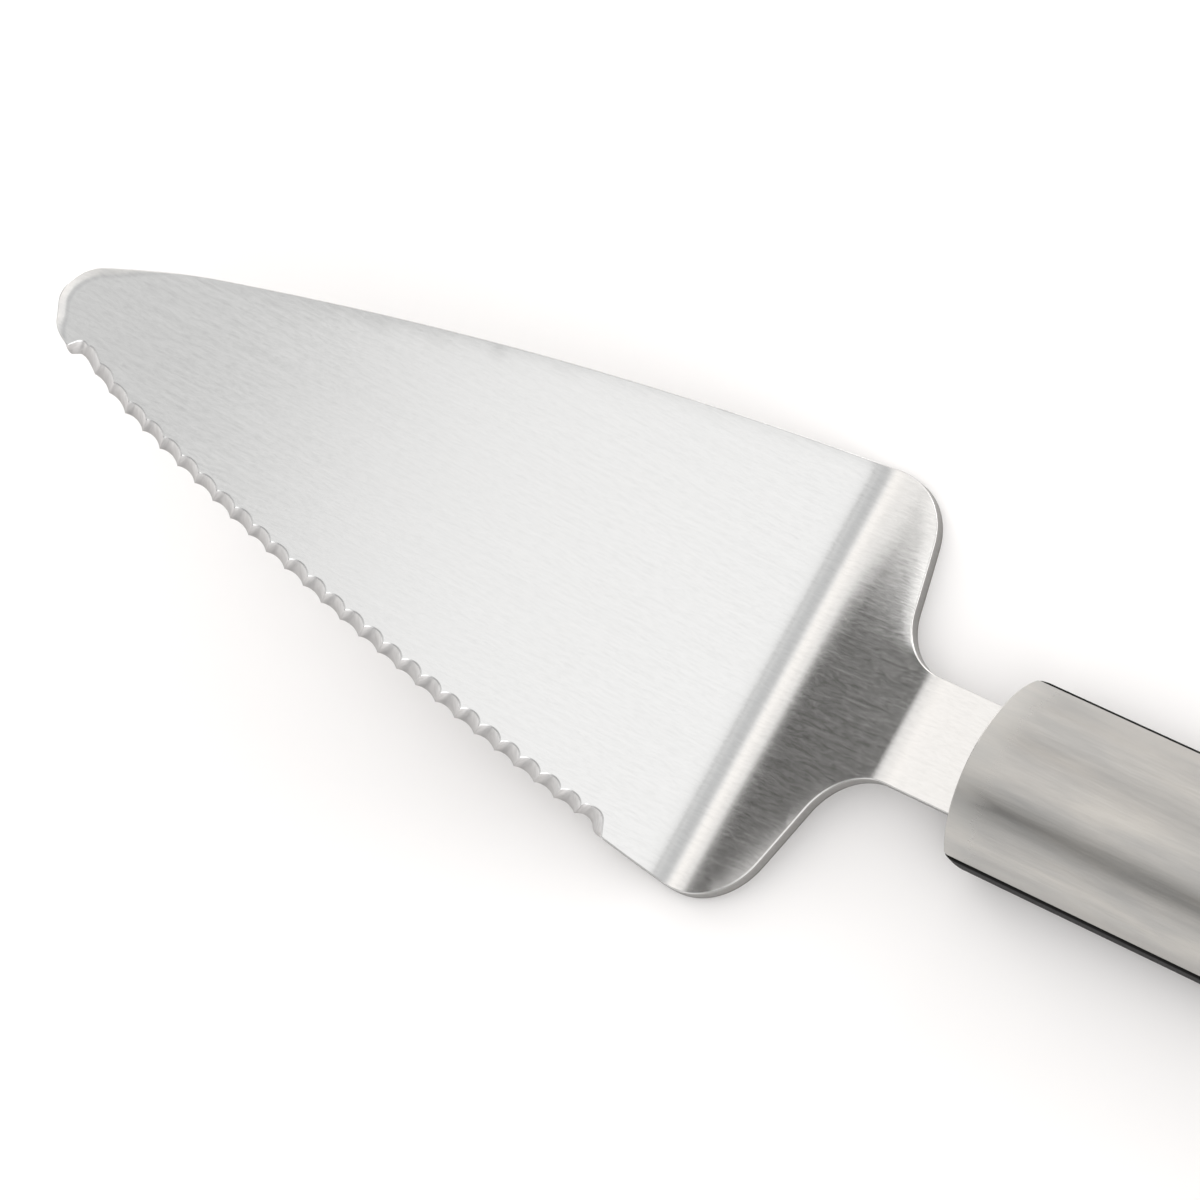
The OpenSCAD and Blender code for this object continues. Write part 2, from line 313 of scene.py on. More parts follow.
# --------------------------------------------------------------- blade sheet

# the top face's side view: slope against length s, soft at the heel bend and
# placed so that the riser's own line meets z = 0 at SOFT_FOLD and passes BEND2
SOFT_FOLD = X_FOLD + 0.27
RISE = math.atan2(BEND2[1], BEND2[0] - SOFT_FOLD)
HEEL_S = [-3.3, -2, -1, 0, 1, 2, 3, 4, 5, 6, 7, 8.3]
HEEL_DEG = [0, 0.6, 1.8, 3.6, 8.8, 16.5, 22.8, 28.4, 32.5, 34.7, 35.55, 36]
SOFT_NECK_R = 16.0
_s = np.linspace(-4.3, 9.3, 2721)
_a = np.interp(_s, HEEL_S, HEEL_DEG)
for _ in range(2):
    _a = np.convolve(np.pad(_a, 80, "edge"), np.full(161, 1 / 161), "valid")
_a *= RISE / 36
_z = np.concatenate([[0], np.cumsum((np.sin(_a[1:]) + np.sin(_a[:-1])) / 2 * np.diff(_s))])
_x = np.concatenate([[0], np.cumsum((np.cos(_a[1:]) + np.cos(_a[:-1])) / 2 * np.diff(_s))])
HEEL_0 = SOFT_FOLD - (_x[-1] - _z[-1] / math.tan(RISE))
HEEL_1 = HEEL_0 + 13.6
_s += HEEL_0 + 4.3
_x += HEEL_0
FOLD_S = HEEL_1 - _z[-1] / math.sin(RISE)      # where the riser's own line meets z = 0
RISER_S = FOLD_S + math.hypot(BEND2[0] - _x[-1] + _z[-1] / math.tan(RISE), BEND2[1])
SOFT_TAN = SOFT_NECK_R * math.tan((RISE - NECK_A) / 2)
S_C = RISER_S - SOFT_TAN
S_D = S_C + SOFT_NECK_R * (RISE - NECK_A)
SIDE_C = (SIDE_R * math.sin(SIDE_A), HEEL_W / 2 - SIDE_R * math.cos(SIDE_A))


def edge_y(x):
    return SIDE_C[1] + np.sqrt(SIDE_R ** 2 - (np.asarray(x, float) - SIDE_C[0]) ** 2)


def ease(t):
    """Smooth step from 0 at t = 0 to 1 at t = 1."""
    t = np.clip(t, 0, 1)
    return t * t * (3 - 2 * t)


_bump = np.cumsum(np.where(abs(_s - 4.7) < 1.9, np.cos(math.pi * (_s - 4.7) / 3.8) ** 2, 0)) * (_s[1] - _s[0])
_tail = np.cumsum(np.where(abs(_s - 6.6) < 2.3, np.cos(math.pi * (_s - 6.6) / 4.6) ** 2, 0)) * (_s[1] - _s[0])


def sag(s, v):
    """How much lower the riser lies towards its two corners: the plain-side
    one hangs, the other is bent a little earlier and rises less steeply."""
    turn = np.sin(math.radians(3.9) * ease((v - 8) / 22))
    u = np.clip((s - 2.9) / 3, 0, 1)
    plain = turn * np.where(s < 5.9, 3 * u * u / 2, s - 4.4)
    early = math.radians(0.8) * ease((-v - 1) / 21) * np.interp(s, _s, _bump) - math.radians(0.6) * ease(v / 9) * np.interp(s, _s, _tail)
    u = np.clip((s - 4.9) / 8.6, 0, 1)
    late = math.radians(2.1) * ease((-v - 12) / 18) * np.where(s < 13.5, 8.6 * (u ** 3 - u ** 4 / 2), s - 9.2)
    return plain - early + late


def place_sheet(q, w):
    """Sheet coordinates (s along the top face, v across) to the blade frame."""
    s, v = q[:, 0], q[:, 1]
    w = np.broadcast_to(w, s.shape) - sag(s, v)
    a = np.interp(s, _s, _a)
    x, z = np.where(s < HEEL_0, s, np.interp(s, _s, _x)), np.interp(s, _s, _z)
    m = s > HEEL_1
    x[m] += (s[m] - HEEL_1) * math.cos(RISE)
    z[m] += (s[m] - HEEL_1) * math.sin(RISE)
    m = s > S_C
    cx = BEND2[0] - SOFT_TAN * math.cos(RISE) + SOFT_NECK_R * math.sin(RISE)
    cz = BEND2[1] - SOFT_TAN * math.sin(RISE) - SOFT_NECK_R * math.cos(RISE)
    a[m] = np.maximum(RISE - (s[m] - S_C) / SOFT_NECK_R, NECK_A)
    x[m] = cx - SOFT_NECK_R * np.sin(a[m])
    z[m] = cz + SOFT_NECK_R * np.cos(a[m])
    m = s > S_D
    x[m] += (s[m] - S_D) * math.cos(NECK_A)
    z[m] += (s[m] - S_D) * math.sin(NECK_A)
    return np.stack([x - w * np.sin(a), v, z + w * np.cos(a)], 1)


def span(a, b, step, ends=(True, False)):
    n = max(1, int(math.ceil(abs(b - a) / step)))
    t = np.linspace(a, b, n + 1)
    return t[(0 if ends[0] else 1):(None if ends[1] else -1)]


def from_heel():
    """The outline's half from the start of the heel bend to the tang's end."""
    pts = []
    start = FOLD_S + CORNER_U
    for s in span(HEEL_0, start, 0.4):
        pts.append((s, edge_y(np.interp(s, _s, _x))))
    a7 = math.radians(7)
    cc = np.array([start + CORNER_R * math.sin(a7),
                   float(edge_y(np.interp(start, _s, _x))) - CORNER_R * math.cos(a7)])
    for a in np.radians(span(97, 90 - math.degrees(SHOULDER_A), 2.5, (True, True))):
        pts.append(tuple(cc + CORNER_R * np.array([math.cos(a), math.sin(a)])))
    fy = NECK_W / 2 + FILLET_R
    fc = np.array([cc[0] + (CORNER_R + FILLET_R - (fy - cc[1]) * math.cos(SHOULDER_A)) / math.sin(SHOULDER_A), fy])
    b = math.pi * 1.5 - SHOULDER_A
    f0 = fc + FILLET_R * np.array([math.cos(b), math.sin(b)])
    last = np.array(pts[-1])
    for t in np.linspace(0, 1, 6)[1:-1]:
        pts.append(tuple(last + (f0 - last) * t))
    for a in np.radians(span(math.degrees(b), 270, 2.5)):
        pts.append(tuple(fc + FILLET_R * np.array([math.cos(a), math.sin(a)])))
    to_s = S_D - SOFT_TAN
    for s in span(fc[0], to_s + 20.8, 1.2):
        pts.append((s, NECK_W / 2))
    for a, b in (((20.8, 7.8), (28.8, 6.0)), ((28.8, 6.0), (106.0, 5.0)), ((106.0, 5.0), (109.0, 4.0)),
                 ((109.0, 4.0), (110.0, 2.0))):
        n = max(2, int((b[0] - a[0]) / 3))
        for t in np.linspace(0, 1, n + 1)[:-1]:
            pts.append((to_s + a[0] + (b[0] - a[0]) * t, a[1] + (b[1] - a[1]) * t))
    pts.append((to_s + 110.0, 2.0))
    return np.array(pts, float)


def nose(side):
    """The tip's arc from the middle to about the tip's shoulder."""
    out = []
    for a in np.linspace(0, 65, 30):
        r = TIP_R
        if side < 0:
            r += -0.26 * math.sin(math.pi * min(a / 48, 1)) ** 2
        out.append((-101.9 - r * math.cos(math.radians(a)), side * r * math.sin(math.radians(a))))
    return np.array(out)


def upper_front():
    """Upper half outline from the tip to the start of the heel bend."""
    a = nose(1)
    p0 = a[-1]
    d0 = np.array([math.sin(math.radians(65)), math.cos(math.radians(65))]) * 4.6
    p3 = np.array([-90.0, float(edge_y(-90.0))])
    slope = (SIDE_C[0] + 90.0) / (p3[1] - SIDE_C[1])
    d1 = np.array([1, slope]) * 4.6
    t = np.linspace(0, 1, 21)[1:-1, None]
    b = (1 - t) ** 3 * p0 + 3 * (1 - t) ** 2 * t * (p0 + d0) + 3 * (1 - t) * t * t * (p3 - d1) + t ** 3 * p3
    x = span(-90.0, HEEL_0, 1.5)
    return np.concatenate([a, b, np.stack([x, edge_y(x)], 1)])


TEETH = 27
PER = 16
rng = np.random.default_rng(7)


def teeth_points():
    """Bottom tooth tips and top cusps of the ground edge, heel to tip."""
    tooth, cusp = [], []
    for k in range(TEETH):
        x = -13.41 - 3.37 * k + 0.003 * k * k
        if k == 25:
            tooth.append((-95.90, -8.90))
            cusp.append((-95.70, -7.55))
            continue
        if k == 26:
            tooth.append((-98.86, -7.58))
            cusp.append((-98.60, -6.12))
            continue
        x += rng.uniform(-0.05, 0.05)
        xc = x + 0.40 - 0.018 * k + rng.uniform(-0.04, 0.04)
        tooth.append((x, -float(edge_y(x)) + 0.42 + rng.uniform(-0.04, 0.05)))
        cusp.append((xc, -float(edge_y(xc)) + 1.62 + 0.008 * k + rng.uniform(-0.04, 0.04)))
    return tooth, cusp


def lower_front():
    """Lower side from the tip to the start of the heel bend: top and bottom
    contours of the ground teeth, and the numbers of the cusp columns."""
    tooth, cusp = teeth_points()
    top, low, marks = [], [], []
    for p in nose(-1):
        top.append(p)
        low.append(p)
    t_notch = spline([top[-1], (-103.75, -6.08), (-103.50, -5.78), (-103.18, -5.38), (-102.85, -4.98), (-102.45, -4.66), (-102.02, -4.52),
                      (-101.62, -4.60), (-101.36, -4.76)], 22)
    b_notch = spline([low[-1], (-104.05, -6.17), (-103.55, -6.50), (-103.10, -6.64), (-102.72, -6.52), (-102.30, -6.28),
                      (-101.95, -6.08), (-101.70, -6.02)], 22)
    top += list(t_notch[1:])
    low += list(b_notch[1:])
    marks.append(len(top) - 1)
    top += list(spline([(-101.36, -4.76), (-100.94, -4.66), (-100.45, -4.74), (-99.90, -5.02), (-99.30, -5.48), cusp[26]], PER)[1:])
    low += list(spline([(-101.70, -6.02), (-101.10, -6.16), (-100.51, -6.42), (-99.80, -6.88), tooth[26]], PER)[1:])
    marks.append(len(top) - 1)
    for k in range(25, -1, -1):
        x = (tooth[k][0] + tooth[k + 1][0]) / 2
        rise = float(np.interp(x, [-97, -90, -55, -40, -13], [0.5, 0.62, 0.85, 1.0, 1.0])) + rng.uniform(-0.05, 0.05)
        rise_b = float(np.interp(x, [-97, -90, -80, -13], [0.35, 0.58, 0.5, 0.47])) + rng.uniform(-0.05, 0.05)
        top += list(arc_between(cusp[k + 1], cusp[k], rise, PER, 0.12)[1:])
        low += list(arc_between(tooth[k + 1], tooth[k], rise_b, PER)[1:])
        marks.append(len(top) - 1)
    foot_t, foot_b = (-8.60, -float(edge_y(-8.60))), (-9.02, -float(edge_y(-9.02)))
    top += list(spline([cusp[0], (-12.71, -27.30), (-12.04, -27.06), (-11.14, -26.98), (-10.40, -27.12), (-9.78, -27.52), (-9.41, -28.06),
                        (-9.11, -28.84), (-8.81, -29.55), foot_t], 30)[1:])
    low += list(spline([tooth[0], (-12.92, -28.58), (-12.15, -28.39), (-11.50, -28.48), (-10.91, -28.72), (-10.45, -29.28),
                        (-10.05, -29.72), (-9.55, -29.92), foot_b], 30)[1:])
    marks.append(len(top) - 1)
    x = span(-8.0, HEEL_0, 1.0)
    side = np.stack([x, -edge_y(x)], 1)
    top += list(side)
    low += list(side)
    return np.array(top), np.array(low), marks


def build_blade():
    t_low, b_low, marks = lower_front()
    heel = from_heel()
    up = upper_front()
    mirror = heel * [1, -1]
    top = np.concatenate([t_low, mirror, heel[::-1], up[::-1][:-1]])
    low = np.concatenate([b_low, mirror, heel[::-1], up[::-1][:-1]])
    first, last = marks[0] - 22, marks[-1]

    def limit(base, q):
        """Keeps inset points of one scallop between its two cusps."""
        q = q.copy()
        lines = [first] + marks
        for a, b in zip(lines[:-1], lines[1:]):
            pa, pb = base[a], base[b]
            t = (pb - pa) / np.linalg.norm(pb - pa)
            span_ab = float((pb - pa) @ t)
            for c in range(a + 1, b):
                p = float((base[c] - pa) @ t)
                r = float((q[c] - pa) @ t)
                lo, hi = 0.35 * p, span_ab - 0.35 * (span_ab - p)
                q[c] += (min(max(r, lo), hi) - r) * t
        return q

    side_line = np.concatenate([nose(-1)[:0:-1], up[up[:, 0] < -88]])
    _i = np.linspace(0, len(side_line) - 1, 4 * len(side_line) - 3)
    side_line = np.stack([np.interp(_i, np.arange(len(side_line)), side_line[:, c]) for c in (0, 1)], 1)
    shoulder = heel[(heel[:, 0] > 9.5) & (heel[:, 0] < 22)]

    def sink(p):
        """Soft bevel round the nose, fading along the upper edge, and the
        rolled edge of the shoulders."""
        w = np.zeros(len(p))
        m = (p[:, 0] > 8) & (p[:, 0] < 21) & (abs(p[:, 1]) > 9)
        if m.any():
            q = np.stack([p[m, 0], abs(p[m, 1])], 1)
            d = np.linalg.norm(q[:, None, :] - shoulder[None], axis=2).min(1)
            depth = np.where(p[m, 1] > 0, 0.055, 0.03) * ease((q[:, 1] - 9) / 3)
            w[m] = -depth * np.clip(1 - d / 2.3, 0, 1) ** 2
        m = p[:, 0] < -78
        if not m.any():
            return w
        q = p[m]
        d = np.linalg.norm(q[:, None, :] - side_line[None], axis=2).min(1)
        width = np.interp(q[:, 0], [-106, -103.5, -101, -98, -95], [1.7, 1.5, 1.0, 0.5, 0.01])
        width *= np.where(q[:, 0] < -101.9, 1, ease((q[:, 1] + 1) / 3))
        width *= np.where(q[:, 1] < -2, np.clip((q[:, 1] + 6.4) / 3.4, 0.01, 1), 1)
        k = np.clip(1 - d / np.maximum(width, 1e-6), 0, 1)
        u = np.minimum(k / 0.4, 1)
        w[m] = -0.28 * width * (0.4 * (u ** 3 - u ** 4 / 2) + np.maximum(k - 0.4, 0))
        m = (p[:, 1] > 0) & (p[:, 0] > -95) & (p[:, 0] < 6)
        if m.any():
            d = edge_y(np.minimum(p[m, 0], 2.0)) - p[m, 1]
            fade = ease((p[m, 0] + 95) / 8) * ease((6 - p[m, 0]) / 4)
            w[m] = np.minimum(w[m], -0.055 * fade * np.clip(1 - d / 1.3, 0, 1) ** 2)
        return w

    s_rows = np.concatenate([
        np.arange(-107.6, -93, 0.45), np.arange(-92.6, HEEL_0 - 0.4, 2.0), span(HEEL_0, HEEL_1, 0.25, (True, True)),
        np.arange(HEEL_1 + 0.8, S_C - 0.4, 1.0), span(S_C, S_D, 0.25, (True, True)), np.arange(S_D + 1.5, S_D + 110, 2.5)])
    grid = []
    for s in s_rows:
        step = 0.45 if s < -93 else 2.0 if s < HEEL_0 else 1.2
        grid.append(np.stack([np.full(len(v := np.arange(-33 + 0.1, 33, step)), s), v], 1))
    inner = np.concatenate(grid)
    fine = np.stack(np.meshgrid(np.arange(-92.9, -84, 0.7), np.arange(6, 16, 0.5), indexing="ij"), -1).reshape(-1, 2)
    inner = np.concatenate([inner, fine + 0.07])
    rows_low = np.concatenate([
        np.arange(-105, HEEL_0 - 0.4, 3.0), span(HEEL_0, HEEL_1, 0.4, (True, True)), np.arange(HEEL_1 + 1.5, S_C - 1, 1.5),
        span(S_C, S_D, 0.4, (True, True)), np.arange(S_D + 2, S_D + 110, 3.0)])
    inner_low = np.concatenate([np.stack([np.full(len(v := np.arange(-33, 33, 2.5)), s), v], 1) for s in rows_low])
    kinds = -ease((top[:, 1] - 2) / 2)
    kinds[first:last + 1] = 1
    loops = [(top, low, limit, kinds)]
    a = np.radians(-np.arange(0, 360, 7.5))
    for h in (44.0, 90.0):
        c = S_D - SOFT_TAN + h
        ring = np.stack([c + 2.0 * np.cos(a), 2.0 * np.sin(a)], 1)
        loops.append((ring, ring.copy(), None, None))
        far = np.hypot(inner[:, 0] - c, inner[:, 1]) > 2.6
        inner = inner[far]
        inner_low = inner_low[np.hypot(inner_low[:, 0] - c, inner_low[:, 1]) > 2.6]
    return plate(loops, place_sheet, SHEET, 0.17, 0.12, inner, inner_low, sink)


# ------------------------------------------------------------- handle covers


def cover_place(radius, axis_z, under):
    """Developed coordinates of a crowned bar with a ball end to the handle frame."""
    def place(q, w):
        x, a = q[:, 0].copy(), q[:, 1].copy()
        w = np.broadcast_to(w, x.shape)
        px, py, pz = np.zeros_like(x), np.zeros_like(x), np.zeros_like(x)
        m = x <= CAP_X
        px[m] = x[m]
        py[m] = (radius + w[m]) * np.sin(a[m] / radius)
        pz[m] = (radius + w[m]) * np.cos(a[m] / radius)
        m = ~m
        rho = np.hypot(x[m] - CAP_X, a[m])
        cs, sn = (x[m] - CAP_X) / np.maximum(rho, 1e-9), a[m] / np.maximum(rho, 1e-9)
        px[m] = CAP_X + (radius + w[m]) * np.sin(rho / radius) * cs
        py[m] = (radius + w[m]) * np.sin(rho / radius) * sn
        pz[m] = (radius + w[m]) * np.cos(rho / radius)
        if under:
            return np.stack([px, -py, axis_z - pz], 1)
        return np.stack([px, py, axis_z + pz], 1)
    return place


def u_loop(x0, half, corner, step_front):
    """Closed U outline in developed coordinates, metal on its left."""
    pts = [(x, -half) for x in span(x0 + corner, CAP_X, 3.0)]
    pts += [(CAP_X + half * math.cos(a), half * math.sin(a)) for a in np.radians(span(-90, 90, 3.0))]
    pts += [(x, half) for x in span(CAP_X, x0 + corner, 3.0)]
    pts += [(x0 + corner - corner * math.sin(a), half - corner + corner * math.cos(a)) for a in np.radians(span(0, 90, 12))]
    pts += [(x0, y) for y in span(half - corner, -half + corner, step_front)]
    pts += [(x0 + corner - corner * math.cos(a), -half + corner - corner * math.sin(a)) for a in np.radians(span(0, 90, 12))]
    return np.array(pts)


def build_cover(radius, axis_z, under, half_out, half_in, hole_out, hole_in, r_edge):
    top = u_loop(FRONT, half_out, 0.55, 0.6)
    low = top.copy()
    k = half_in / half_out
    m = top[:, 0] <= CAP_X
    low[m, 1] *= k
    low[~m] = np.array([CAP_X, 0.0]) + (top[~m] - [CAP_X, 0.0]) * k
    a = np.radians(-np.arange(0, 360, 4.0))
    ring = np.stack([np.cos(a), np.sin(a)], 1)
    hole = (ring * hole_out + [CAP_X, 0], ring * hole_in + [CAP_X, 0], None, None)
    step = 0.7 if not under else 1.2
    rows = np.arange(-round(half_out / step), round(half_out / step) + 1) * step
    xs = np.concatenate([np.arange(FRONT + 1.0, FRONT + 8, 1.0), np.arange(FRONT + 8, CAP_X - 9, 2.5)])
    bar = np.stack(np.meshgrid(xs, rows, indexing="ij"), -1).reshape(-1, 2)
    near = np.stack(np.meshgrid(np.arange(CAP_X - 8.5, CAP_X + 0.1, 0.9), rows, indexing="ij"), -1).reshape(-1, 2)
    polar = np.concatenate([np.stack([CAP_X + 1e-6 + r * np.cos(t := np.radians(np.arange(-87, 88, 4))), r * np.sin(t)], 1)
                            for r in np.arange(hole_out + 0.8, half_out - 0.3, 0.8)])
    inner = np.concatenate([bar, near, polar])
    return plate([(top, low, None, None), hole], cover_place(radius, axis_z, under), COVER_T, r_edge, 0.1, inner, inner[::2])


# ---------------------------------------------------------------- grip band


def build_band():
    """Soft strip round the handle's side, its front ends rounded, with the
    closing wall under the neck."""
    shell = Shell()
    zs = SEAT_Z
    inside = math.sqrt((CROWN_R - COVER_T) ** 2 - CROWN_Z ** 2) + 0.02
    outer = spline([(12.74, LIP - 0.01), (12.86, LIP - 0.07), (12.97, 0.28), (13.03, -0.1), (13.06, -0.9), (13.10, -2.2), (13.08, zs + 0.9), (12.93, zs + 0.4), (12.60, zs + 0.02),
                    (12.15, zs - 0.24), (11.72, zs - 0.34)], 22)
    section = np.concatenate([[(10.75, -0.02), (11.4, -0.02), (inside, -0.02), (inside, LIP - 0.02), (12.35, LIP - 0.02)], outer, [(11.55, zs - 0.28), (11.5, zs), (10.75, zs)],
                              [(10.75, zs * 0.66), (10.75, zs * 0.33)]])
    n = len(section)
    ends = np.concatenate([1 - np.cos(np.linspace(0, math.pi / 2, 9)), [1.3, 1.7]]) * 1.8
    straight = np.concatenate([FRONT + ends, np.arange(FRONT + 6.5, CAP_X - 1, 4.0)])

    def at(x):
        """The section near the front end, drawn in where the end is rounded."""
        d = min((x - FRONT) / 1.8, 1.0)
        k = math.sqrt(max(0.0, 1 - (1 - d) ** 2))
        sec = section.copy()
        low = 0.42 + 0.58 * k
        sec[:, 1] = np.where(sec[:, 1] < -0.3, -0.3 + (sec[:, 1] + 0.3) * low, sec[:, 1])
        sec[:, 0] = np.where(sec[:, 0] > 12.3, 12.3 + (sec[:, 0] - 12.3) * (0.35 + 0.65 * k), sec[:, 0])
        return sec

    stations = []
    for x in straight:
        s = at(x)
        stations.append(np.stack([np.full(n, x), -s[:, 0], s[:, 1]], 1))
    for phi in np.radians(np.arange(-90, 90.1, 4)):
        stations.append(np.stack([CAP_X + section[:, 0] * math.cos(phi), section[:, 0] * math.sin(phi), section[:, 1]], 1))
    for x in straight[::-1]:
        s = at(x)
        stations.append(np.stack([np.full(n, x), s[:, 0], s[:, 1]], 1))
    run = np.concatenate([[0], np.cumsum(np.linalg.norm(np.diff(section, axis=0), axis=1))])
    ids, uv, along = [], [], 0.0
    for i, st in enumerate(stations):
        ids.append(shell.add(st) + np.arange(n))
        if i:
            along += float(np.linalg.norm(st[n // 2] - stations[i - 1][n // 2]))
        uv.append(np.stack([np.full(n, along), run], 1))
    grid, uv = np.array(ids), np.array(uv)
    rows = len(grid)
    for r in range(rows - 1):
        for c in range(n):
            e = (c + 1) % n
            shell.faces.append((grid[r, c], grid[r, e], grid[r + 1, e], grid[r + 1, c]))
            shell.uvs.append((uv[r, c], uv[r, e], uv[r + 1, e], uv[r + 1, c]))
    for row, flip in ((0, True), (rows - 1, False)):
        centre = shell.add(stations[row].mean(0)[None])
        mid = uv[row].mean(0)
        for c in range(n):
            e = (c + 1) % n
            f = (centre, grid[row, c], grid[row, e]) if not flip else (centre, grid[row, e], grid[row, c])
            u = (mid, uv[row, c], uv[row, e]) if not flip else (mid, uv[row, e], uv[row, c])
            shell.faces.append(f)
            shell.uvs.append(u)
    # closing wall: an open frame round the neck's slot
    y1, y0, z0, z1, zt = 11.2, NECK_W / 2 + 0.06, SEAT_Z, -SHEET - 0.06, -0.02
    ring = np.array([(-y1, z0), (y1, z0), (y1, zt), (y0, zt), (y0, z1), (-y0, z1), (-y0, zt), (-y1, zt)])
    fr = [shell.add(np.stack([np.full(8, x), ring[:, 0] * k, ring[:, 1] * (1 if k == 1 else 0.995)], 1))
          for x, k in ((FRONT + 0.45, 0.985), (FRONT + 0.6, 1), (FRONT + 2.4, 1))]
    uvr = ring
    for a, b in ((fr[0], fr[1]), (fr[1], fr[2])):
        for c in range(8):
            e = (c + 1) % 8
            shell.faces.append((a + e, a + c, b + c, b + e))
            shell.uvs.append((uvr[e], uvr[c], uvr[c], uvr[e]))
    for f, flip in ((fr[0], True), (fr[2], False)):
        for quad in ((0, 1, 4, 5), (1, 2, 3, 4), (0, 5, 6, 7)):
            q = quad[::-1] if flip else quad
            shell.faces.append(tuple(f + i for i in q))
            shell.uvs.append(tuple(uvr[i] for i in q))
    return shell


def build_liner():
    """The hanging hole's liner, turned about its own axis."""
    shell = Shell()
    top, low = CROWN_H, -UNDER_D
    prof = np.concatenate([
        spline([(HANG_R, low + 0.62), (HANG_R, -2.0), (HANG_R, 2.0), (HANG_R, top - 1.75)], 10),
        spline([(HANG_R + 0.02, top - 1.55), (HANG_R + 0.30, top - 1.10), (HANG_R + 0.85, top - 0.90), (LINER_R - 0.72, top - 1.0),
                (LINER_R - 0.2, top - 1.3), (LINER_R - 0.01, top - 1.62)], 14),
        spline([(LINER_R, top - 1.8), (LINER_R, 2.0), (LINER_R, -2.0), (LINER_R, low + 0.95)], 8),
        spline([(LINER_R - 0.04, low + 0.78), (LINER_R - 0.4, low + 0.42), (HANG_R + 1.1, low + 0.24), (HANG_R + 0.35, low + 0.26),
                (HANG_R + 0.04, low + 0.48)], 12)])
    ang = np.radians(np.arange(0, 360, 4.0))
    run = np.concatenate([[0], np.cumsum(np.linalg.norm(np.diff(prof, axis=0), axis=1))])
    ids = np.array([shell.add(np.stack([CAP_X + prof[:, 0] * math.cos(a), prof[:, 0] * math.sin(a), prof[:, 1]], 1)) + np.arange(len(prof))
                    for a in ang])
    n = len(prof)
    for r in range(len(ang)):
        s = (r + 1) % len(ang)
        for c in range(n):
            e = (c + 1) % n
            shell.faces.append((ids[r, c], ids[r, e], ids[s, e], ids[s, c]))
            u0, u1 = r * 4 / 60 * LINER_R, (r + 1) * 4 / 60 * LINER_R
            shell.uvs.append(((u0, run[c]), (u0, run[c] + 0.3), (u1, run[c] + 0.3), (u1, run[c])))
    return shell


# ------------------------------------------------------------------ materials


class Graph:
    """A small helper that writes shader nodes from short calls."""

    def __init__(self, tree):
        self.tree = tree
        tree.nodes.clear()
        self.x = 0

    def node(self, kind, **props):
        n = self.tree.nodes.new(kind)
        self.x += 180
        n.location = (self.x, 0)
        for k, v in props.items():
            setattr(n, k, v)
        return n

    def put(self, socket, value):
        if isinstance(value, bpy.types.NodeSocket):
            self.tree.links.new(value, socket)
        else:
            socket.default_value = value

    def math(self, op, a, b=0.0, c=0.0, clamp=False):
        n = self.node("ShaderNodeMath", operation=op, use_clamp=clamp)
        for s, v in zip(n.inputs, (a, b, c)):
            self.put(s, v)
        return n.outputs[0]

    def vmath(self, op, a, b=(0, 0, 0)):
        n = self.node("ShaderNodeVectorMath", operation=op)
        self.put(n.inputs[0], a)
        self.put(n.inputs[1], b)
        return n.outputs[0]

    def noise(self, vector, scale, detail=2.0, rough=0.5, distort=0.0, dims="3D"):
        n = self.node("ShaderNodeTexNoise", noise_dimensions=dims)
        self.put(n.inputs["Vector"], vector)
        n.inputs["Scale"].default_value = scale
        n.inputs["Detail"].default_value = detail
        n.inputs["Roughness"].default_value = rough
        n.inputs["Distortion"].default_value = distort
        return n.outputs[0]

    def remap(self, value, a, b, c, d, smooth=False):
        n = self.node("ShaderNodeMapRange", interpolation_type="SMOOTHSTEP" if smooth else "LINEAR")
        self.put(n.inputs["Value"], value)
        for name, v in zip(("From Min", "From Max", "To Min", "To Max"), (a, b, c, d)):
            n.inputs[name].default_value = v
        return n.outputs["Result"]

    def ramp(self, value, stops, mode="LINEAR"):
        n = self.node("ShaderNodeValToRGB")
        n.color_ramp.interpolation = mode
        els = n.color_ramp.elements
        while len(els) > 1:
            els.remove(els[-1])
        for i, (at, col) in enumerate(stops):
            e = els[0] if i == 0 else els.new(at)
            e.position = at
            e.color = (*col, 1) if isinstance(col, tuple) else (col, col, col, 1)
        self.put(n.inputs[0], value)
        return n.outputs[0]

    def mix(self, fac, a, b):
        n = self.node("ShaderNodeMix", data_type="RGBA")
        self.put(n.inputs[0], fac)
        self.put(n.inputs[6], a)
        self.put(n.inputs[7], b)
        return n.outputs[2]

    def mul_colour(self, colour, factor):
        n = self.node("ShaderNodeVectorMath", operation="SCALE")
        self.put(n.inputs[0], colour)
        self.put(n.inputs["Scale"], factor)
        return n.outputs[0]


def material(name):
    m = bpy.data.materials.new(name)
    m.use_nodes = True
    g = Graph(m.node_tree)
    out = g.node("ShaderNodeOutputMaterial")
    bsdf = g.node("ShaderNodeBsdfPrincipled")
    m.node_tree.links.new(bsdf.outputs[0], out.inputs["Surface"])
    return m, g, bsdf


def grain_vector(g, along, across):
    """Grain coordinates (along the brushing, across it) with their own scales."""
    uv = g.node("ShaderNodeUVMap", uv_map="grain").outputs[0]
    return g.vmath("MULTIPLY", uv, (100.0 * along, 100.0 * across, 1.0))


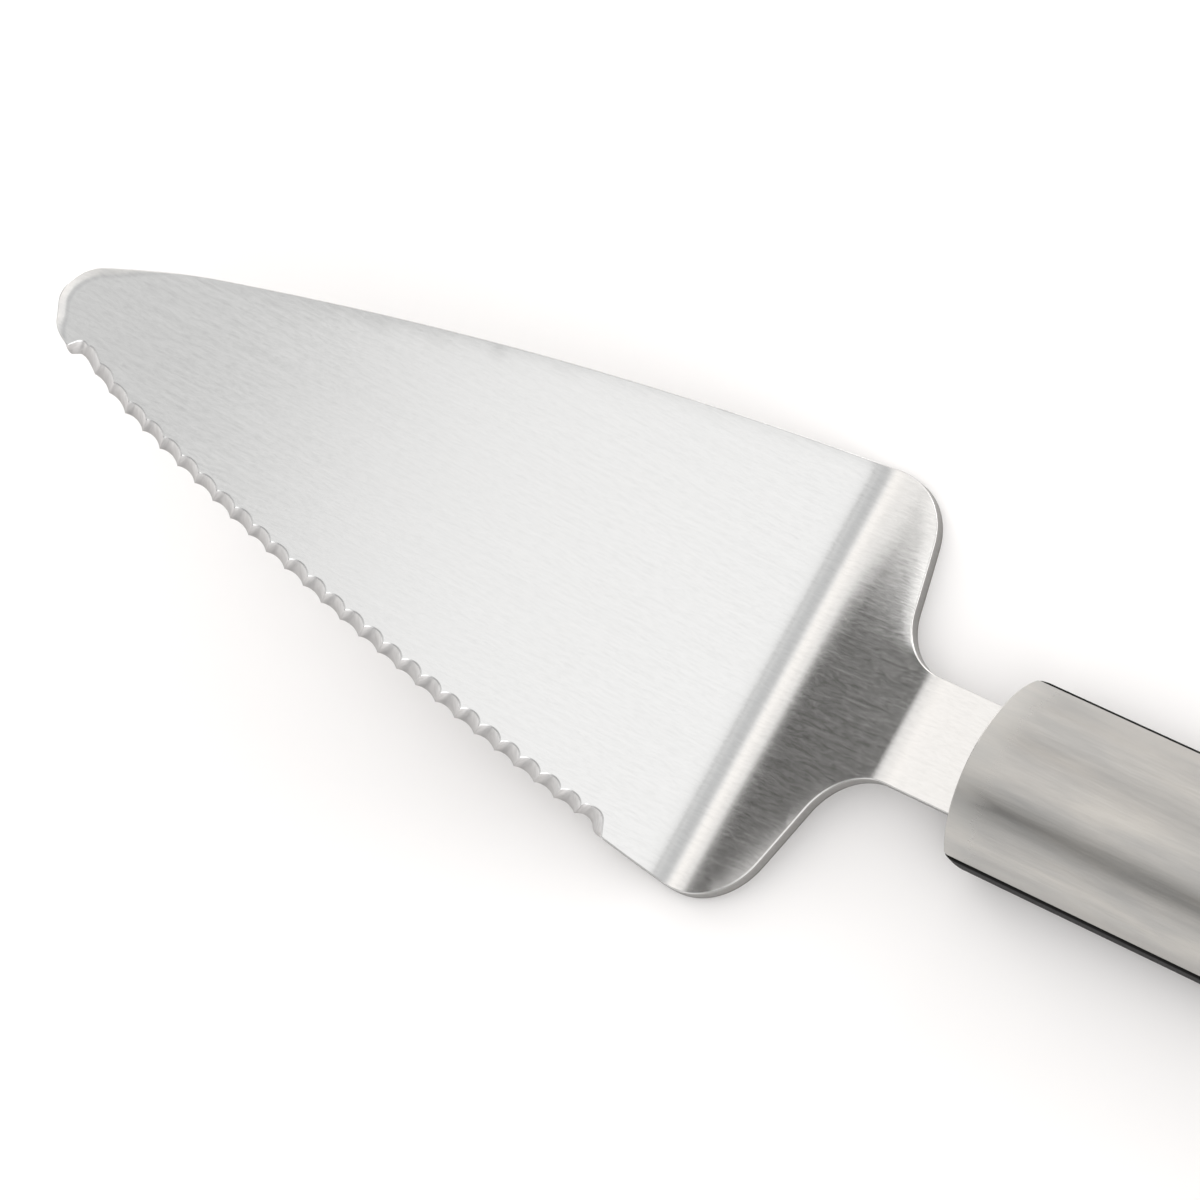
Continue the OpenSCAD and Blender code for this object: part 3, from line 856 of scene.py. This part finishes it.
def blade_steel():
    m, g, b = material("blade_steel")
    hair = g.noise(grain_vector(g, 0.45, 5.0), 1.0, 3.0, 0.6)
    fibre = g.noise(grain_vector(g, 0.62, 2.6), 1.0, 4.0, 0.66, 0.5)
    line = g.noise(grain_vector(g, 0.07, 1.5), 1.0, 3.0, 0.55)
    broad = g.noise(grain_vector(g, 0.030, 0.11), 1.0, 2.0, 0.5)
    marks = g.remap(fibre, 0.56, 0.78, 0.0, 1.0)
    tone = g.math("ADD", g.math("MULTIPLY", g.math("SUBTRACT", fibre, 0.5), 0.26), g.math("MULTIPLY", g.math("SUBTRACT", line, 0.5), 0.11))
    tone = g.math("ADD", g.math("ADD", tone, g.math("MULTIPLY", marks, -0.05)), 1.0)
    face = g.mul_colour((0.662, 0.660, 0.654), tone)
    sep = g.node("ShaderNodeSeparateXYZ")
    g.put(sep.inputs[0], g.node("ShaderNodeUVMap", uv_map="edge").outputs[0])
    mark, kind = sep.outputs[0], sep.outputs[1]
    on = g.math("MULTIPLY", mark, 2.2, clamp=True)
    across = g.math("SUBTRACT", mark, 1.0, clamp=True)
    # Painted shade: the cut walls on the plain (+v) side are painted 0.12 darker than those on the other side.
    plain = g.math("MULTIPLY", g.math("MULTIPLY", kind, -1.0, clamp=True), -0.12)
    kind = g.math("ADD", kind, 0.0, clamp=True)
    cut = g.math("MULTIPLY", on, g.math("SUBTRACT", 1.0, kind, clamp=True))
    ground = g.math("MULTIPLY", on, kind)
    sheared = g.noise(grain_vector(g, 1.1, 2.2), 1.0, 3.0, 0.6)
    # Cut walls: their own duller sheared grey, plus painted shade that darkens them towards the lower edge, down to a
    # near-black line at the bottom.
    cut_tone_and_shade = g.mul_colour(g.ramp(across, [(0.0, (0.42, 0.41, 0.40)), (0.2, (0.33, 0.325, 0.315)), (0.85, (0.29, 0.285, 0.275)), (1.0, (0.16, 0.155, 0.15))]),
                            g.math("ADD", g.math("ADD", 0.85, g.math("MULTIPLY", sheared, 0.3)), plain))
    wheel = g.noise(grain_vector(g, 3.2, 0.5), 1.0, 3.0, 0.6)
    # Ground teeth: their own ground grey, plus painted shade that darkens each scallop towards its lower edge.
    ground_tone_and_shade = g.mul_colour(g.ramp(across, [(0.0, (0.66, 0.652, 0.648)), (0.30, (0.57, 0.56, 0.555)), (1.0, (0.44, 0.43, 0.425))]),
                               g.math("ADD", 0.75, g.math("MULTIPLY", wheel, 0.5)))
    colour = g.mix(ground, g.mix(cut, face, cut_tone_and_shade), ground_tone_and_shade)
    g.put(b.inputs["Base Color"], colour)
    b.inputs["Metallic"].default_value = 1.0
    rough = g.remap(g.math("ADD", fibre, g.math("MULTIPLY", g.math("SUBTRACT", line, 0.5), 0.5)), 0.25, 0.75, 0.14, 0.19)
    g.put(b.inputs["Roughness"], g.math("ADD", g.math("ADD", rough, g.math("MULTIPLY", on, 0.14)), g.math("MULTIPLY", ground, 0.05)))
    b.inputs["Anisotropic"].default_value = 0.6
    b.inputs["Anisotropic Rotation"].default_value = 0.25
    tangent = g.node("ShaderNodeTangent", direction_type="UV_MAP", uv_map="grain")
    m.node_tree.links.new(tangent.outputs[0], b.inputs["Tangent"])
    height = g.math("ADD", g.math("MULTIPLY", hair, 0.0040), g.math("ADD", g.math("MULTIPLY", fibre, 0.0035), g.math("MULTIPLY", broad, 0.02)))
    bump = g.node("ShaderNodeBump")
    bump.inputs["Strength"].default_value = 1.0
    bump.inputs["Distance"].default_value = 0.001
    g.put(bump.inputs["Height"], height)
    m.node_tree.links.new(bump.outputs[0], b.inputs["Normal"])
    return m


def cover_steel():
    m, g, b = material("cover_steel")
    fine = g.noise(grain_vector(g, 0.30, 4.5), 1.0, 3.0, 0.6)
    cloud = g.noise(grain_vector(g, 0.045, 0.22), 1.0, 3.0, 0.55, 0.4)
    streak = g.noise(grain_vector(g, 0.035, 0.9), 1.0, 4.0, 0.55)
    tone = g.math("ADD", g.math("MULTIPLY", g.math("SUBTRACT", cloud, 0.5), 0.42),
                  g.math("ADD", g.math("MULTIPLY", g.math("SUBTRACT", streak, 0.5), 0.30), g.math("MULTIPLY", g.math("SUBTRACT", fine, 0.5), 0.16)))
    warm = g.mix(g.remap(cloud, 0.35, 0.65, 0.0, 1.0), (0.420, 0.415, 0.403, 1), (0.442, 0.428, 0.405, 1))
    along = g.node("ShaderNodeSeparateXYZ")
    g.put(along.inputs[0], g.node("ShaderNodeUVMap", uv_map="grain").outputs[0])
    # The cover is lighter and rougher over its first 6 mm behind the front end.
    front_band = g.remap(g.math("ADD", along.outputs[0], g.math("MULTIPLY", g.math("SUBTRACT", streak, 0.5), 0.10)), FRONT / 100, FRONT / 100 + 0.06, 0.16, 0.0, True)
    face = g.mul_colour(warm, g.math("ADD", g.math("ADD", tone, 1.0), front_band))
    sep = g.node("ShaderNodeSeparateXYZ")
    g.put(sep.inputs[0], g.node("ShaderNodeUVMap", uv_map="edge").outputs[0])
    on = g.math("ADD", sep.outputs[0], 0.0, clamp=True)
    g.put(b.inputs["Base Color"], g.mix(on, face, (0.30, 0.295, 0.28, 1)))
    b.inputs["Metallic"].default_value = 1.0
    g.put(b.inputs["Roughness"], g.math("ADD", g.remap(streak, 0.3, 0.7, 0.20, 0.26), g.math("MULTIPLY", front_band, 0.9)))
    b.inputs["Anisotropic"].default_value = 0.5
    b.inputs["Anisotropic Rotation"].default_value = 0.25
    tangent = g.node("ShaderNodeTangent", direction_type="UV_MAP", uv_map="grain")
    m.node_tree.links.new(tangent.outputs[0], b.inputs["Tangent"])
    bump = g.node("ShaderNodeBump")
    bump.inputs["Strength"].default_value = 1.0
    bump.inputs["Distance"].default_value = 0.001
    g.put(bump.inputs["Height"], g.math("ADD", g.math("MULTIPLY", fine, 0.0022), g.math("MULTIPLY", streak, 0.012)))
    m.node_tree.links.new(bump.outputs[0], b.inputs["Normal"])
    return m


def plastic(name, colour, rough, grain_mm, depth, object_space=False, variation=0.25, gloss=0.5):
    m, g, b = material(name)
    if object_space:
        vec = g.vmath("MULTIPLY", g.node("ShaderNodeTexCoord").outputs["Object"], (1000.0, 1000.0, 1000.0))
    else:
        vec = grain_vector(g, 1.0, 1.0)
    grain = g.noise(vec, 1.0 / grain_mm, 3.0, 0.55)
    cloud = g.noise(vec, 0.12, 2.0, 0.5)
    tone = g.math("ADD", 1.0, g.math("ADD", g.math("MULTIPLY", g.math("SUBTRACT", grain, 0.5), variation),
                                     g.math("MULTIPLY", g.math("SUBTRACT", cloud, 0.5), variation)))
    g.put(b.inputs["Base Color"], g.mul_colour(colour, tone))
    g.put(b.inputs["Roughness"], g.remap(grain, 0.3, 0.7, rough - 0.06, rough + 0.06))
    b.inputs["IOR"].default_value = 1.5
    b.inputs["Specular IOR Level"].default_value = gloss
    bump = g.node("ShaderNodeBump")
    bump.inputs["Strength"].default_value = 0.7
    bump.inputs["Distance"].default_value = 0.001
    g.put(bump.inputs["Height"], g.math("MULTIPLY", grain, depth))
    m.node_tree.links.new(bump.outputs[0], b.inputs["Normal"])
    return m


def pin_steel():
    m, g, b = material("pin_steel")
    vec = g.vmath("MULTIPLY", g.node("ShaderNodeTexCoord").outputs["Object"], (1000.0, 1000.0, 1000.0))
    turn = g.noise(g.vmath("MULTIPLY", vec, (0.3, 0.3, 9.0)), 1.0, 3.0, 0.6)
    g.put(b.inputs["Base Color"], g.mul_colour((0.6, 0.6, 0.6), g.math("ADD", 0.95, g.math("MULTIPLY", turn, 0.1))))
    b.inputs["Metallic"].default_value = 1.0
    g.put(b.inputs["Roughness"], g.remap(turn, 0.3, 0.7, 0.28, 0.4))
    bump = g.node("ShaderNodeBump")
    bump.inputs["Distance"].default_value = 0.001
    g.put(bump.inputs["Height"], g.math("MULTIPLY", turn, 0.004))
    m.node_tree.links.new(bump.outputs[0], b.inputs["Normal"])
    return m


# --------------------------------------------------------------------- build

steel = blade_steel()
cover = cover_steel()
rubber = plastic("band_black", (0.0040, 0.0039, 0.0038), 0.5, 0.25, 0.015, gloss=0.08)
liner = plastic("liner_black", (0.010, 0.010, 0.0102), 0.40, 0.4, 0.008, gloss=0.3)

make_piece("blade_sheet", build_blade(), blade_to_row, "blade", steel)
b0 = math.acos((LIP - CROWN_Z + 0.02) / CROWN_R)
b1 = math.acos((LIP - CROWN_Z + 0.02) / (CROWN_R - COVER_T))
make_piece("upper_cover_shell",
           build_cover(CROWN_R, CROWN_Z, False, CROWN_R * b0, CROWN_R * b1,
                       CROWN_R * math.asin(6.85 / CROWN_R), CROWN_R * math.asin(6.85 / (CROWN_R - COVER_T)), 0.2),
           handle_to_row, "upper_cover", cover)
u0 = math.acos((UNDER_Z - SEAT_Z + 0.02) / UNDER_R)
u1 = math.acos((UNDER_Z - SEAT_Z + 0.02) / (UNDER_R - COVER_T))
make_piece("lower_cover_shell",
           build_cover(UNDER_R, UNDER_Z, True, UNDER_R * u0, UNDER_R * u1,
                       UNDER_R * math.asin(6.85 / UNDER_R), UNDER_R * math.asin(6.85 / (UNDER_R - COVER_T)), 0.2),
           handle_to_row, "lower_cover", cover)
make_piece("grip_band_strip", build_band(), handle_to_row, "grip_band", rubber)
make_piece("hanging_liner_ring", build_liner(), handle_to_row, "hanging_liner", liner)

for node, mat in (("handle_core", plastic("core_nylon", (0.02, 0.02, 0.02), 0.5, 0.5, 0.01, True)), ("tang_pins", pin_steel())):
    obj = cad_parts[node]
    if obj.material_slots:
        for s in obj.material_slots:
            s.link = "OBJECT"
            s.material = mat
    else:
        obj.data.materials.append(mat)

# --------------------------------------------------------------------- floor

floor_mesh = bpy.data.meshes.new("floor")
floor_mesh.from_pydata([(-4, -4, 0), (4, -4, 0), (4, 4, 0), (-4, 4, 0)], [], [(0, 1, 2, 3)])
floor = bpy.data.objects.new("floor", floor_mesh)
bpy.context.scene.collection.objects.link(floor)
fm, fg, fb = material("floor_paper")
fv = fg.vmath("MULTIPLY", fg.node("ShaderNodeTexCoord").outputs["Object"], (1.0, 1.0, 1.0))
fg.put(fb.inputs["Base Color"], fg.ramp(fg.noise(fv, 3.0), [(0.3, (0.872, 0.858, 0.852)), (0.7, (0.882, 0.868, 0.862))]))
fb.inputs["Roughness"].default_value = 0.9
fb.inputs["Specular IOR Level"].default_value = 0.1
floor_mesh.materials.append(fm)

# --------------------------------------------------------------------- light

scene = bpy.context.scene
world = bpy.data.worlds.new("studio")
scene.world = world
world.use_nodes = True
wg = Graph(world.node_tree)
direction = wg.node("ShaderNodeTexCoord").outputs["Generated"]
sep = wg.node("ShaderNodeSeparateXYZ")
wg.put(sep.inputs[0], direction)
dx, dy, dz = sep.outputs
phi = wg.math("ARCTAN2", dx, dz)
phi01 = wg.remap(phi, -math.pi / 2, math.pi / 2, 0, 1)


def at_deg(d):
    return (d + 90) / 180


def lit(stops, key=lambda v: v):
    """Ramp stops from (place, radiance, warmth); the world's strength is 2."""
    return [(key(p), tuple(0.5 * v * (1 + w * k) for k in (1.0, 0.0, -1.0))) for p, v, w in stops]


# soft boxes seen by the steel, by angle from straight up towards the handle
bands = wg.ramp(phi01, lit([
    (-90, 0.6, 0), (-82, 0.20, 0.03), (-76, 0.055, 0.08), (-66, 0.05, 0.08), (-56, 0.05, 0.08), (-54, 0.17, 0.03), (-51.7, 0.55, 0.02),
    (-49, 0.95, 0.02), (-46, 1.15, 0.02), (-40, 1.24, 0.025), (-32, 1.40, 0.03), (-25, 1.40, 0.03), (-20, 1.22, 0.01), (-13, 0.86, 0), (-6, 0.80, -0.005),
    (2, 0.83, -0.005), (6.5, 0.99, 0), (7.5, 0.90, 0), (8.5, 0.63, 0), (9.25, 0.64, 0), (10.0, 1.23, 0), (10.75, 1.40, 0), (12, 1.35, 0), (16, 1.36, 0), (30, 1.40, 0),
    (60, 1.4, 0), (90, 1.2, 0)], at_deg))
# the room in front, by height, and behind, by depth; a soft box behind on the right
front = wg.ramp(dz, lit([(0.0, 1.17, 0.01), (0.124, 1.22, 0.01), (0.272, 1.11, 0.01), (0.413, 1.0, 0.01), (0.54, 0.98, 0.01), (0.651, 0.58, 0.01),
                         (0.72, 0.20, 0.01), (0.76, 0.22, 0.01), (0.813, 0.74, 0.01), (0.858, 1.06, 0.01), (1.0, 1.3, 0)]))
front = wg.mix(wg.remap(dx, -0.3, -0.05, 0.0, 1.0, True), front, (0.28, 0.28, 0.28, 1))
right = wg.mix(wg.remap(dz, 0.3, 0.5, 0.0, 1.0, True), (0.62, 0.62, 0.62, 1), (1.15, 1.15, 1.15, 1))
front = wg.mix(wg.remap(dx, 0.15, 0.45, 0.0, 1.0, True), front, right)
front = wg.mix(wg.remap(dx, -0.62, -0.8, 0.0, 1.0, True), front, (0.60, 0.60, 0.60, 1))
back = wg.ramp(dy, lit([(0.2, 1.38, 0.02), (0.41, 1.15, 0.02), (0.53, 0.96, 0.02), (0.65, 1.14, 0.02), (0.81, 1.28, 0.02), (1.0, 1.28, 0.02)]))
high = wg.remap(dz, 0.3, 0.5, 0.0, 1.0, True)
back = wg.mix(wg.remap(dx, -0.3, -0.05, 0.0, 1.0, True), back, wg.mix(high, (2.75, 2.74, 2.72, 1), (0.40, 0.40, 0.40, 1)))
box = wg.math("MULTIPLY", wg.remap(dx, 0.3, 0.5, 0.0, 1.0, True), wg.remap(dy, 0.3, 0.5, 0.0, 1.0, True))
back = wg.mix(box, back, wg.mix(high, (2.8, 2.79, 2.77, 1), (0.6, 0.598, 0.594, 1)))
back = wg.mix(wg.remap(dx, -0.62, -0.8, 0.0, 1.0, True), back, (2.35, 2.34, 2.32, 1))
back = wg.mul_colour(back, wg.remap(dz, 0.05, 0.25, 0.85, 1.0, True))
env = wg.mix(wg.remap(wg.math("MULTIPLY", dy, -1.0), -0.02, 0.24, 0.0, 1.0, True), bands, front)
env = wg.mix(wg.remap(dy, 0.2, 0.42, 0.0, 1.0, True), env, back)
bg = wg.node("ShaderNodeBackground")
wg.put(bg.inputs["Color"], env)
bg.inputs["Strength"].default_value = 2.0
wout = wg.node("ShaderNodeOutputWorld")
world.node_tree.links.new(bg.outputs[0], wout.inputs["Surface"])

# -------------------------------------------------------------------- camera

cam_data = bpy.data.cameras.new("camera")
cam_data.sensor_fit = "HORIZONTAL"
cam_data.sensor_width = 36.0
cam_data.lens = 159.456
cam_data.clip_start, cam_data.clip_end = 0.01, 50
cam = bpy.data.objects.new("camera", cam_data)
# the view in the blade's own frame: right, down and forward, and where the lens is
view = np.array([[0.87401793, 0.48245798, -0.05767969], [0.46730184, -0.86715481, -0.17225423], [-0.13312265, 0.12359946, -0.98336236]])
at = -np.array([[22.12389, 9.06311, 700.0]]) @ view
right, down, forward = ((blade_to_row(at + axis) - blade_to_row(at))[0] * 1000 for axis in view)
m = Matrix([[right[i], -down[i], -forward[i]] for i in range(3)]).to_4x4()
m.translation = blade_to_row(at)[0]
cam.matrix_world = m
scene.collection.objects.link(cam)
scene.camera = cam
scene.view_settings.view_transform = "Standard"
scene.view_settings.look = "None"
scene.view_settings.exposure = 0.0
scene.view_settings.gamma = 1.0
